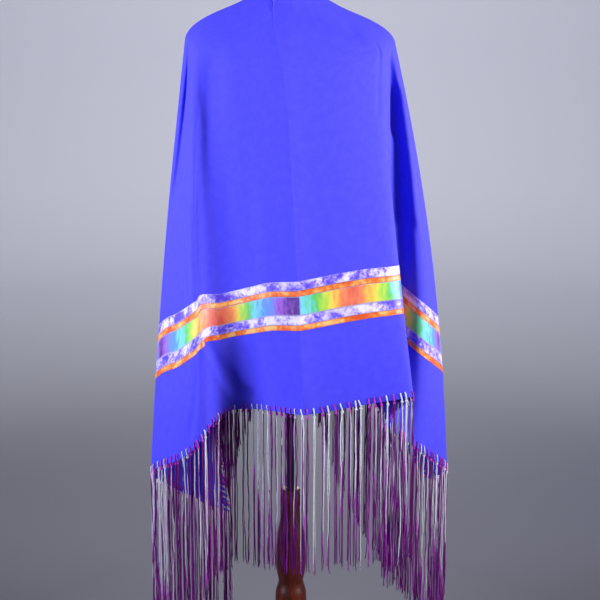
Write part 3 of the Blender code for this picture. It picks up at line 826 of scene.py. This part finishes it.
# Turned outlines of the stand from the top down: height, radius
POST_OUTLINE = (
    (0.46, 0.019), (0.452, 0.022), (0.436, 0.0225), (0.424, 0.02), (0.4, 0.023),
    (0.36, 0.03), (0.32, 0.033), (0.29, 0.0325), (0.268, 0.029), (0.258, 0.027),
    (0.248, 0.0285), (0.232, 0.033), (0.205, 0.034), (0.15, 0.031), (0.095, 0.027),
    (0.075, 0.031), (0.055, 0.038), (0.0283, 0.041),
)
CAP_OUTLINE = (
    (1.5995, 0.03), (1.5993, 0.044), (1.5984, 0.0485), (1.5965, 0.0515), (1.5932, 0.0532),
    (1.5875, 0.054),
)
BASE_OUTLINE = (
    (0.028, 0.15), (0.028, 0.17), (0.0268, 0.1775), (0.024, 0.1835), (0.0215, 0.185),
    (0.02, 0.1862), (0.0165, 0.1893), (0.011, 0.19), (0.004, 0.19), (0.0012, 0.189),
    (0, 0.187),
)
COLLAR_OUTLINE = (
    (0.4683, 0.018), (0.468, 0.019), (0.4668, 0.0204), (0.465, 0.021), (0.4636, 0.021),
    (0.4618, 0.0204), (0.4605, 0.019), (0.4603, 0.018),
)
POLE_OUTLINE = ((0.8019, 0.0085), (0.4686, 0.0085))


def dress_form():
    """Jersey cover drawn over the form, with its four long seams."""
    keys = [row[0] for row in FORM_SECTIONS]
    values = [Vector(row[1:]) for row in FORM_SECTIONS]
    rings = []
    for height in reversed(span_rows(keys[0], keys[-1], FORM_ROW)):
        wide, deep, centre = smooth_between(keys, values, height)
        inset = FORM_EDGE[1] * max(1 - (height - keys[0]) / FORM_EDGE[0], 0)**2
        rings.append(ring(height, wide - inset, deep - inset, centre, FORM_SIDES, FORM_SEAM_DEPTH))
    return lofted("jersey_form", rings, 50)


BANDS_PER_METRE = 3.2           # of a wave texture at scale 1


def new_material(name):
    made = bpy.data.materials.new(name)
    made.use_nodes = True
    return made, made.node_tree


def complete(made, tree, factor, stops, values, height=None, relief=None):
    """Colours a material by a factor through stops and sets its shader. Relief: strength, depth."""
    values["Base Color"] = add(tree, "ShaderNodeValToRGB", {"Fac": factor}, stops)
    if relief:
        values["Normal"] = add(tree, "ShaderNodeBump",
                               {"Height": height, "Strength": relief[0], "Distance": relief[1]})
    plug(tree, tree.nodes["Principled BSDF"], values)
    return made


def two_noises(tree, place, fine, broad, share):
    """A fine noise, and it mixed with a broad one. Each is scale, detail, distortion."""
    pair = [add(tree, "ShaderNodeTexNoise", {"Vector": place, "Scale": scale, "Detail": detail,
                                             "Distortion": distortion})
            for scale, detail, distortion in (fine, broad)]
    return pair[0], add(tree, "ShaderNodeMix", {0: share, 2: pair[0], 3: pair[1]})


def strayed(tree, value, noisy, reach):
    """A value that a noise moves up and down, by up to half the reach."""
    shift = add(tree, "ShaderNodeMath", {0: noisy, 1: -0.5}, operation="ADD")
    return add(tree, "ShaderNodeMath", {0: shift, 1: reach, 2: value}, operation="MULTIPLY_ADD")


def gabardine():
    """Royal blue polyester gabardine, woven in a steep twill: matt, with a soft bloom when lit."""
    made, tree = new_material("royal blue twill gabardine")
    uv = add(tree, "ShaderNodeUVMap", uv_map="UVMap")
    # twill lines 0.4 mm apart are too fine to show, so they are drawn 1.6 mm apart
    slanted = add(tree, "ShaderNodeMapping", {"Vector": uv, "Rotation": (0, 0, math.radians(63))})
    twill = add(tree, "ShaderNodeTexWave", {
        "Vector": slanted, "Scale": 1 / 0.0016 / BANDS_PER_METRE, "Distortion": 0.6, "Detail": 1.0})
    grain, mixed = two_noises(tree, uv, (620.0, 2.0, 0.0), (60.0, 1.0, 0.0), 0.25)
    height = add(tree, "ShaderNodeMix", {0: 0.5, 2: twill.outputs["Fac"], 3: grain})
    stops = ((0.36, "3732C4"), (0.50, "3C38CB"), (0.64, "423FD0"))
    values = {"Roughness": 0.85, "Specular IOR Level": 0.25, "Sheen Weight": 0.08,
              "Sheen Roughness": 0.6, "Sheen Tint": linear("7572D4")}
    return complete(made, tree, mixed, stops, values, height, (0.25, 0.0003))


def satin(name, dyed):
    """Polyester satin ribbon: smooth floats of yarn give a broad silky gloss."""
    made, tree = new_material(name)
    uv = add(tree, "ShaderNodeUVMap", uv_map="UVMap")
    factor, stops = dyed(tree, uv)
    crinkle = add(tree, "ShaderNodeTexNoise", {"Vector": uv, "Scale": 95.0, "Detail": 2.0})
    # weft ribs 0.3 mm apart are drawn 1.2 mm apart
    ribs = add(tree, "ShaderNodeTexWave", {"Vector": uv, "Scale": 1 / 0.0012 / BANDS_PER_METRE})
    height = add(tree, "ShaderNodeMix", {0: 0.15, 2: crinkle, 3: ribs.outputs["Fac"]})
    values = {"Roughness": 0.36, "Sheen Weight": 0.1}
    return complete(made, tree, factor, stops, values, height, (0.5, 0.0011))


def lilac_dye(tree, uv):
    """Watery mottle of white and violet blotches, 4 to 12 mm across."""
    _, mixed = two_noises(tree, uv, (105.0, 3.0, 0.8), (22.0, 1.0, 0.0), 0.55)
    return mixed, ((0.40, "4730BF"), (0.47, "715DCF"), (0.53, "AB9DD7"), (0.61, "CDC4DD"))


def orange_dye(tree, uv):
    """Orange with golden shimmer in blotches, 8 to 30 mm long."""
    _, mixed = two_noises(tree, uv, (110.0, 2.0, 0.0), (24.0, 1.0, 0.0), 0.6)
    return mixed, ((0.40, "C44514"), (0.49, "D46A23"), (0.60, "DFA861"))


def rainbow_dye(tree, uv):
    """Rainbow dyed along the ribbon, its colours run into each other in wavering bands."""
    dye = add(tree, "ShaderNodeAttribute", attribute_name="dye").outputs["Fac"]
    # the bands waver over 10 mm and are streaked across the ribbon
    streaked = add(tree, "ShaderNodeMapping", {"Vector": uv, "Scale": (1.0, 0.45, 1.0)})
    waver = add(tree, "ShaderNodeTexNoise", {"Vector": streaked, "Scale": 85.0, "Detail": 3.0,
                                             "Distortion": 0.5})
    return strayed(tree, dye, waver, 0.30), (
        (0.02, "401773"), (0.10, "8649AF"), (0.18, "6C6EC9"), (0.28, "447DCB"), (0.38, "65B8D4"),
        (0.50, "4CAB48"), (0.60, "93BD40"), (0.70, "D4BD43"), (0.80, "D78B43"), (0.90, "CF6A4A"),
        (1.00, "C2483E"))


def rayon_yarn():
    """Two-ply rayon yarn, white run into purple: twisted, with a soft silky gloss."""
    made, tree = new_material("twisted rayon yarn")
    tint, along, around = (add(tree, "ShaderNodeAttribute", attribute_name=name)
                           for name in ("tint", "along", "round"))
    split = add(tree, "ShaderNodeSeparateXYZ", {0: around.outputs["Vector"]})
    angle = add(tree, "ShaderNodeMath", {0: split.outputs["Y"], 1: split.outputs["X"]},
                operation="ARCTAN2")
    # one turn of the ply in 5 mm
    twist = add(tree, "ShaderNodeMath", {0: along.outputs["Fac"], 1: 2 * math.pi / 0.005, 2: angle},
                operation="MULTIPLY_ADD")
    doubled = add(tree, "ShaderNodeMath", {0: twist, 1: 2.0}, operation="MULTIPLY")
    ply = add(tree, "ShaderNodeMath", {0: doubled}, operation="SINE")
    place = add(tree, "ShaderNodeTexCoord").outputs["Object"]
    fleck = add(tree, "ShaderNodeTexNoise", {"Vector": place, "Scale": 130.0, "Detail": 2.0})
    flecked = strayed(tree, tint.outputs["Fac"], fleck, 0.45)
    shaded = add(tree, "ShaderNodeMath", {0: ply, 1: 0.05, 2: flecked}, operation="MULTIPLY_ADD")
    stops = ((0.05, "C2BFCA"), (0.20, "A48DB4"), (0.36, "AE2CB4"), (0.58, "7C0684"),
             (0.88, "5E0266"))
    values = {"Roughness": 0.5, "Specular IOR Level": 0.15}
    return complete(made, tree, shaded, stops, values, ply, (0.6, 0.0003))


def sewing_thread(name, colour):
    """Spun polyester thread: fine, slightly glossy, a shade off the cloth it sews."""
    made, tree = new_material(name)
    place = add(tree, "ShaderNodeTexCoord").outputs["Object"]
    fleck = add(tree, "ShaderNodeTexNoise", {"Vector": place, "Scale": 900.0})
    dark = "".join(f"{int(int(colour[k:k + 2], 16) * 0.8):02X}" for k in (0, 2, 4))
    return complete(made, tree, fleck, ((0.35, dark), (0.65, colour)), {"Roughness": 0.5})


def jersey():
    """Black cotton jersey: a matt knit with wales 1 mm apart, drawn 3 mm apart to show."""
    made, tree = new_material("black cotton jersey")
    place = add(tree, "ShaderNodeTexCoord").outputs["Object"]
    wales = add(tree, "ShaderNodeTexWave", {
        "Vector": place, "Scale": 1 / 0.003 / BANDS_PER_METRE, "Distortion": 0.4})
    lint = add(tree, "ShaderNodeTexNoise", {"Vector": place, "Scale": 260.0, "Detail": 3.0})
    height = add(tree, "ShaderNodeMix", {0: 0.4, 2: wales.outputs["Fac"], 3: lint})
    stops = ((0.40, "0F0F11"), (0.70, "1E1E22"))
    values = {"Roughness": 0.9, "Sheen Weight": 0.3}
    return complete(made, tree, lint, stops, values, height, (0.4, 0.0005))


def mahogany():
    """Mahogany, turned and varnished: red-brown long grain under a clear glossy coat."""
    made, tree = new_material("turned varnished mahogany")
    place = add(tree, "ShaderNodeTexCoord").outputs["Object"]
    drawn_out = add(tree, "ShaderNodeMapping", {"Vector": place, "Scale": (1.0, 1.0, 0.08)})
    # grain lines about 3 mm apart, in bands about 20 mm wide
    grain, mixed = two_noises(tree, drawn_out, (260.0, 5.0, 0.6), (38.0, 2.0, 0.0), 0.5)
    stops = ((0.36, "260601"), (0.50, "4E1403"), (0.64, "742905"))
    values = {"Roughness": 0.4, "Specular IOR Level": 0.3, "Coat Weight": 0.2,
              "Coat Roughness": 0.12}
    return complete(made, tree, mixed, stops, values, grain, (0.12, 0.0004))


def enamel():
    """Black stoved enamel on steel tube: smooth, with a slight orange peel."""
    made, tree = new_material("black stoved enamel")
    place = add(tree, "ShaderNodeTexCoord").outputs["Object"]
    peel = add(tree, "ShaderNodeTexNoise", {"Vector": place, "Scale": 500.0, "Detail": 1.0})
    stops = ((0.3, "0B0B0C"), (0.7, "141417"))
    return complete(made, tree, peel, stops, {"Roughness": 0.3}, peel, (0.1, 0.0002))


def brass():
    """Turned brass: a warm metal with fine tool rings round it, dulled with age."""
    made, tree = new_material("turned brass")
    place = add(tree, "ShaderNodeTexCoord").outputs["Object"]
    rings = add(tree, "ShaderNodeTexWave", {
        "Vector": place, "Scale": 1 / 0.0008 / BANDS_PER_METRE, "Distortion": 0.3},
        bands_direction="Z")
    dull = add(tree, "ShaderNodeTexNoise", {"Vector": place, "Scale": 120.0, "Detail": 3.0})
    stops = ((0.35, "43331A"), (0.65, "66512C"))
    values = {"Metallic": 1.0, "Roughness": 0.62}
    return complete(made, tree, dull, stops, values, rings.outputs["Fac"], (0.15, 0.0001))


def paper_with_painted_shade():
    """Pale grey background paper with painted shade: darker under the stand, paler far off and up the
    wall.
    """
    made, tree = new_material("pale grey background paper")
    place = add(tree, "ShaderNodeTexCoord").outputs["Object"]
    reach = add(tree, "ShaderNodeVectorMath", {0: place}, operation="LENGTH")
    share = add(tree, "ShaderNodeMapRange", {"Value": reach.outputs["Value"], "From Min": 0.8,
                                             "From Max": 5.5})
    values = {"Roughness": 0.9, "Specular IOR Level": 0.1}
    # painted shade and light: the paper runs from dark near the stand to pale with distance from the
    # middle
    return complete(made, tree, share, ((0.0, "807F88"), (1.0, "DCDDE8")), values)


# Finish of each kind of ribbon: its dye and the colour of its thread
RIBBON_FINISHES = {
    "orange": (orange_dye, "F08A3C"),
    "lilac": (lilac_dye, "D8CCF6"),
    "rainbow": (rainbow_dye, "E8E0F4"),
}


def hemmed_cloth(rows, points, normals, flat):
    """The cloth, its hem turned to the inside and drawn in a little along its seam."""
    inner = [-CLOTH_HALF - (HEM_TURNING if row < HEM_WIDTH + HEM_SEAM_HALF else 0) for row in rows]
    outer = [CLOTH_HALF - (HEM_SEAM_PULL if abs(row - HEM_WIDTH) < HEM_SEAM_HALF else 0)
             for row in rows]
    cloth = sheet("shawl_sheet", points, normals, flat, np.array(inner), np.array(outer))
    return finish_piece(cloth, gabardine(), "shawl_cloth")


def sewn_ribbons(places, yarn):
    """Ribbons laid edge to edge, each sewn down along both edges."""
    pieces = []
    finishes = {kind: satin(kind + " satin ribbon", dyed)
                for kind, (dyed, _) in RIBBON_FINISHES.items()}
    seams = {kind: Lines() for kind in RIBBON_FINISHES}
    dye = np.interp(places, *zip(*DYE_TURNS))
    inside = CLOTH_HALF + RIBBON_LIFT
    outside = inside + RIBBON_THICKNESS
    low = BAND_HEIGHT + RIBBON_SPACING / 2
    for node, width, kind in RIBBONS:
        high = low + width - RIBBON_SPACING
        rows = [low] + span_rows(low + ZIGZAG_REACH, high - ZIGZAG_REACH, RIBBON_ROW) + [high]
        strip, outs, flat = cloth_grid(places, rows)
        ribbon = sheet(node + "_satin", strip, outs, flat, inside, outside, dye)
        pieces.append(finish_piece(ribbon, finishes[kind], node))
        for first in (0, len(rows) - 2):
            path = zigzag(strip, outs, first, first + 1, outside + RIBBON_LIFT)
            seams[kind].add(path, THREAD_RADIUS, 0.0)
        low += width
    for kind, (_, colour) in RIBBON_FINISHES.items():
        thread = sewing_thread(kind + " polyester thread", colour)
        piece = seams[kind].spin(kind + "_zigzag", yarn, {"Sides": 3, "Finish": thread})
        pieces.append(finish_piece(piece, thread))
    return pieces


def hem_stitches(seam, normals):
    """Row of stitches that holds the hem, sunk a little into the cloth."""
    thread = sewing_thread("royal blue polyester thread", "2F2AB6")
    paths = Lines()
    paths.add(seam + normals * (CLOTH_HALF - STITCH_SINK), 1.0, 0.0)
    stitches = paths.spin("hem_stitches", stitch_tree(), {"Finish": thread})
    return finish_piece(stitches, thread)


def knotted_fringe(points, normals, yarn):
    """Yarn fringe along the hem and both front edges."""
    rayon = rayon_yarn()
    chance = random.Random(41)
    fringes = (("fringe_hem", hem_fringe(chance)),
               ("fringe_left_edge", front_fringe(points, normals, 0, 1, 1, chance)),
               ("fringe_right_edge", front_fringe(points, normals, -1, -2, -1, chance)))
    return [finish_piece(paths.spin(node + "_yarn", yarn, {"Sides": 6, "Finish": rayon}), rayon,
                         node) for node, paths in fringes]


def dress_shawl():
    """The cloth, and the pieces that are sewn and knotted on it."""
    places = cloth_places()
    rows = cloth_rows()
    points, normals, flat = cloth_grid(places, rows)
    cloth = hemmed_cloth(rows, points, normals, flat)
    yarn = yarn_tree()
    pieces = sewn_ribbons(places, yarn)
    seam = rows.index(HEM_WIDTH)
    pieces.append(hem_stitches(points[:, seam], normals[:, seam]))
    return cloth, pieces + knotted_fringe(points, normals, yarn)


def form_and_stand():
    """The form on its pole, collar, post and base."""
    form = finish_piece(dress_form(), jersey(), "form_torso")
    wood = mahogany()
    for name, outline, steps, centre, finish, slot, node in (
            ("turned_neck_cap", CAP_OUTLINE, 72, FORM_CENTRE, wood, "mahogany", "form_neck_cap"),
            ("turned_post", smooth_outline(POST_OUTLINE), 72, 0.0, wood, "mahogany", "stand_post"),
            ("turned_base", BASE_OUTLINE, 96, 0.0, wood, "mahogany", "stand_base"),
            ("brass_collar", COLLAR_OUTLINE, 48, 0.0, brass(), "brass", "stand_collar"),
            ("enamelled_pole", POLE_OUTLINE, 32, 0.0, enamel(), "black_enamel", "stand_pole")):
        finish_piece(turned(name, outline, steps, centre), finish, node)
    return form


# Studio
FLOOR_RADIUS = 4.6
FLOOR_CURVE = 1.2               # radius of the curve from the floor up to the wall
WALL_HEIGHT = 3.6
LIT_PLACE = (0.0, 0.0, 1.2)
WALL_PLACE = (0.0, 5.8, 0.9)

# Lights: name, place, what it is turned to, size, watts, spread in degrees, colour
LIGHTS = (
    ("key_right", (2.32, -0.95, 1.35), LIT_PLACE, 1.2, 19.5, 58, "FFFFFF"),
    ("key_left", (-2.25, -1.05, 1.35), LIT_PLACE, 1.4, 20.8, 58, "E2E8FF"),
    ("front", (0.2, 3.4, 1.3), LIT_PLACE, 1.0, 20, 75, "FFFFFF"),
    ("backdrop", (0.0, 1.2, 3.2), WALL_PLACE, 2.0, 53, 120, "FFFFFF"),
)
WORLD_COLOUR = "E8EAF2"
WORLD_STRENGTH = 0.33

# Camera
CAMERA_PLACE = (0.02, -2.87, 1.51)
CAMERA_DIP = 12.3               # degrees it looks down
LENS = 84
SENSOR = 36


def area_light(name, place, target, size, watts, spread, colour):
    data = bpy.data.lights.new(name, "AREA")
    data.shape = "DISK"
    data.size = size
    data.energy = watts
    data.spread = math.radians(spread)
    data.color = linear(colour)[:3]
    lamp = link(data, name)
    lamp.location = place
    lamp.rotation_euler = (Vector(target) - Vector(place)).to_track_quat("-Z", "Y").to_euler()
    lamp.visible_camera = False


def sweep():
    """Background paper: a round floor that curves up into a wall on every side."""
    bm = bmesh.new()
    profile = [(0.0, 0.0), (1.0, 0.0), (2.5, 0.0), (FLOOR_RADIUS, 0.0)]
    for turn in range(9, 91, 9):
        angle = math.radians(turn)
        profile.append((FLOOR_RADIUS + FLOOR_CURVE * math.sin(angle),
                        FLOOR_CURVE - FLOOR_CURVE * math.cos(angle)))
    profile.append((FLOOR_RADIUS + FLOOR_CURVE, WALL_HEIGHT))
    line = [bm.verts.new((radius, 0, height)) for radius, height in profile]
    edges = [bm.edges.new(pair) for pair in zip(line, line[1:])]
    bmesh.ops.spin(bm, geom=line + edges, cent=(0, 0, 0), axis=(0, 0, 1), angle=2 * math.pi,
                   steps=96, use_merge=True, use_normal_flip=False)
    bmesh.ops.remove_doubles(bm, verts=bm.verts, dist=0.0001)
    bmesh.ops.recalc_face_normals(bm, faces=bm.faces)
    if sum(face.normal.z * face.calc_area() for face in bm.faces) < 0:
        bmesh.ops.reverse_faces(bm, faces=bm.faces)
    made = piece_of(bm, "background")
    made.data.materials.append(paper_with_painted_shade())
    return made


def studio():
    """Paper sweep, two soft lights before the back of the shawl, one before its front, one on
    the wall, and the camera at the photo's angle."""
    sweep()
    for light in LIGHTS:
        area_light(*light)
    world = bpy.data.worlds.new("studio")
    bpy.context.scene.world = world
    world.use_nodes = True
    plug(world.node_tree, world.node_tree.nodes["Background"],
         {"Color": linear(WORLD_COLOUR), "Strength": WORLD_STRENGTH})

    lens = bpy.data.cameras.new("camera")
    lens.lens = LENS
    lens.sensor_width = SENSOR
    camera = link(lens, "camera")
    camera.location = CAMERA_PLACE
    camera.rotation_euler = (math.radians(90 - CAMERA_DIP), 0, 0)
    bpy.context.scene.camera = camera
    bpy.context.scene.view_settings.view_transform = "Standard"


studio()
stand_form = form_and_stand()
shawl, sewn_on = dress_shawl()
